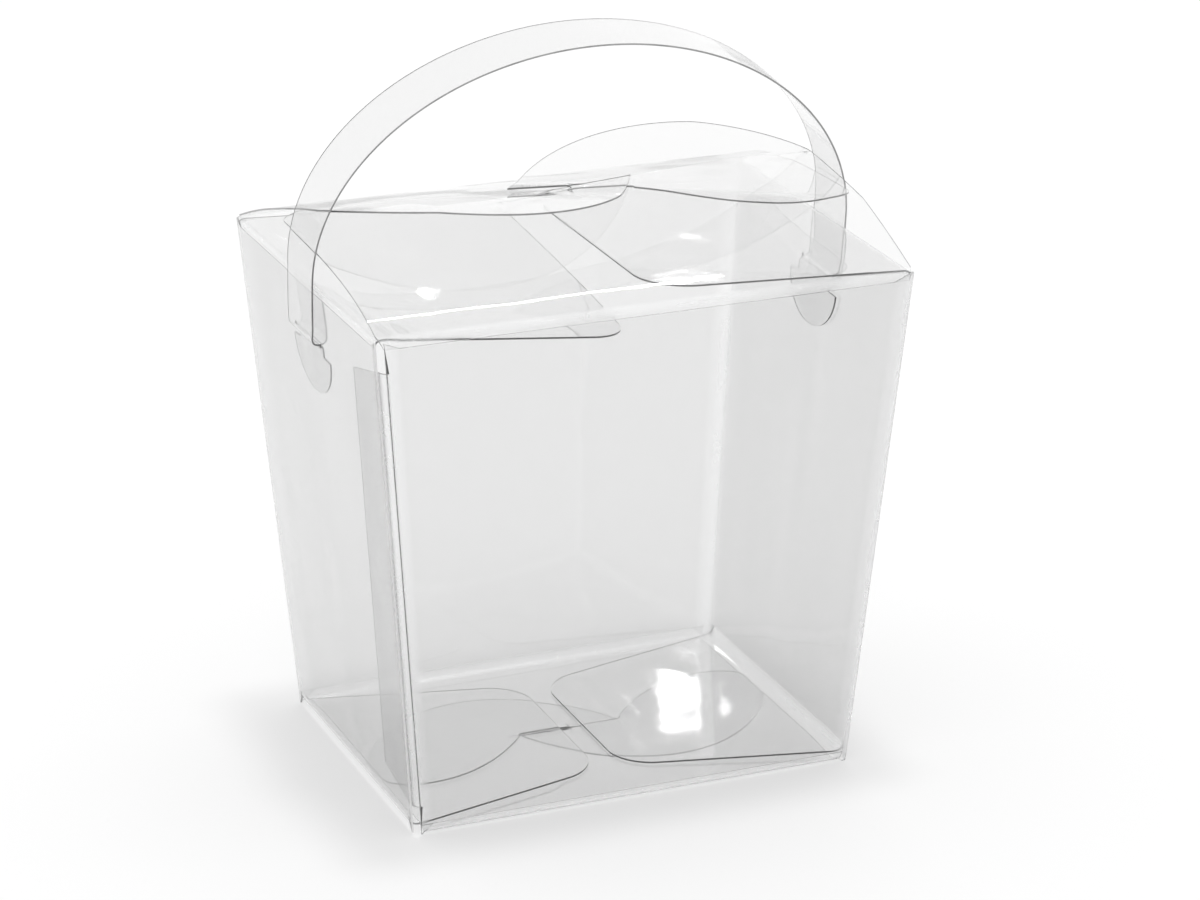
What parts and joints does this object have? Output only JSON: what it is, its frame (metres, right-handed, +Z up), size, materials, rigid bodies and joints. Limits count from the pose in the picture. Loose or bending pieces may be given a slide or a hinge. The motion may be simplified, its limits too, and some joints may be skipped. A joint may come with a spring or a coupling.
{
  "type": "clear folding box",
  "caption": "Clear plastic favour box with flaring sides, an interlocking tent lid, a lock-flap base and a lift-off carrying strap.",
  "frame": {"origin": "middle of the base, on the surface that the box stands on", "axes": "+Z up, +X to the box's right along its wider side, -Y out of its front wall"},
  "size_m": [0.0966, 0.0718, 0.1285],
  "materials": {
    "clear_sheet": "clear gloss",
    "clear_strap": "clear gloss"
  },
  "bodies": {
    "shell": {"front_wall": "clear_sheet", "back_wall": "clear_sheet", "left_wall": "clear_sheet", "right_wall": "clear_sheet", "glue_tab": "clear_sheet"},
    "lid_front": {"top_front_flap": "clear_sheet", "top_front_hook": "clear_sheet", "top_front_tuck": "clear_sheet"},
    "lid_back": {"top_back_flap": "clear_sheet", "top_back_hook": "clear_sheet", "top_back_tuck": "clear_sheet"},
    "lid_left_end": {"top_left_end_flap": "clear_sheet"},
    "lid_right_end": {"top_right_end_flap": "clear_sheet"},
    "base_front": {"bottom_front_flap": "clear_sheet", "bottom_front_hook": "clear_sheet", "bottom_front_tuck": "clear_sheet"},
    "base_back": {"bottom_back_flap": "clear_sheet", "bottom_back_hook": "clear_sheet", "bottom_back_tuck": "clear_sheet"},
    "base_left_end": {"bottom_left_end_flap": "clear_sheet"},
    "base_right_end": {"bottom_right_end_flap": "clear_sheet"},
    "handle_ends": {"handle_tongue_left": "clear_strap", "handle_tongue_right": "clear_strap"},
    "handle": {"handle_strap": "clear_strap"}
  },
  "joints": [
    {"name": "lid_open", "type": "hinge", "parent": "shell", "child": "lid_front", "pos_m": [0, -0.0354, 0.0903], "axis": [1, 0, 0], "range_deg": [0, 200], "deforming": ["top_front_hook", "top_front_tuck", "top_back_hook", "top_back_tuck"]},
    {"name": "lid_back_open", "type": "hinge", "parent": "shell", "child": "lid_back", "pos_m": [0, 0.0354, 0.0903], "axis": [-1, 0, 0], "range_deg": [0, 200], "deforming": ["top_front_hook", "top_front_tuck", "top_back_hook", "top_back_tuck"]},
    {"name": "lid_right_end_open", "type": "hinge", "parent": "shell", "child": "lid_right_end", "pos_m": [0.04628, 0, 0.09015], "axis": [0, 1, 0], "range_deg": [0, 90]},
    {"name": "lid_left_end_open", "type": "hinge", "parent": "shell", "child": "lid_left_end", "pos_m": [-0.04628, 0, 0.09015], "axis": [0, -1, 0], "range_deg": [0, 90]},
    {"name": "handle_lift", "type": "slide", "parent": "shell", "child": "handle_ends", "axis": [0, 0, 1], "range_m": [0, 0.161], "deforming": ["handle_tongue_left", "handle_tongue_right"]},
    {"name": "handle_lean", "type": "hinge", "parent": "handle_ends", "child": "handle", "pos_m": [0, 0, 0.08], "axis": [1, 0, 0], "range_deg": [-15, 6]},
    {"name": "base_open", "type": "hinge", "parent": "shell", "child": "base_front", "pos_m": [0, -0.0282, -0.0001], "axis": [-1, 0, 0], "range_deg": [0, 180], "deforming": ["bottom_front_hook", "bottom_front_tuck", "bottom_back_hook", "bottom_back_tuck"]},
    {"name": "base_back_open", "type": "hinge", "parent": "shell", "child": "base_back", "pos_m": [0, 0.0282, -0.0001], "axis": [1, 0, 0], "range_deg": [0, 180], "deforming": ["bottom_front_hook", "bottom_front_tuck", "bottom_back_hook", "bottom_back_tuck"]},
    {"name": "base_right_end_open", "type": "hinge", "parent": "shell", "child": "base_right_end", "pos_m": [0.03805, 0, 0.00105], "axis": [0, -1, 0], "range_deg": [0, 51]},
    {"name": "base_left_end_open", "type": "hinge", "parent": "shell", "child": "base_left_end", "pos_m": [-0.03805, 0, 0.00105], "axis": [0, 1, 0], "range_deg": [0, 51]}
  ],
  "couplings": [
    {"joint": "lid_back_open", "follows": "lid_open", "ratio": 1},
    {"joint": "lid_right_end_open", "follows": "lid_open", "ratio": 0.45},
    {"joint": "lid_left_end_open", "follows": "lid_open", "ratio": 0.45},
    {"joint": "handle_lift", "follows": "lid_open", "m_per_rad": 0.046},
    {"joint": "base_back_open", "follows": "base_open", "ratio": 1},
    {"joint": "base_right_end_open", "follows": "base_open", "ratio": 0.28},
    {"joint": "base_left_end_open", "follows": "base_open", "ratio": 0.28}
  ]
}
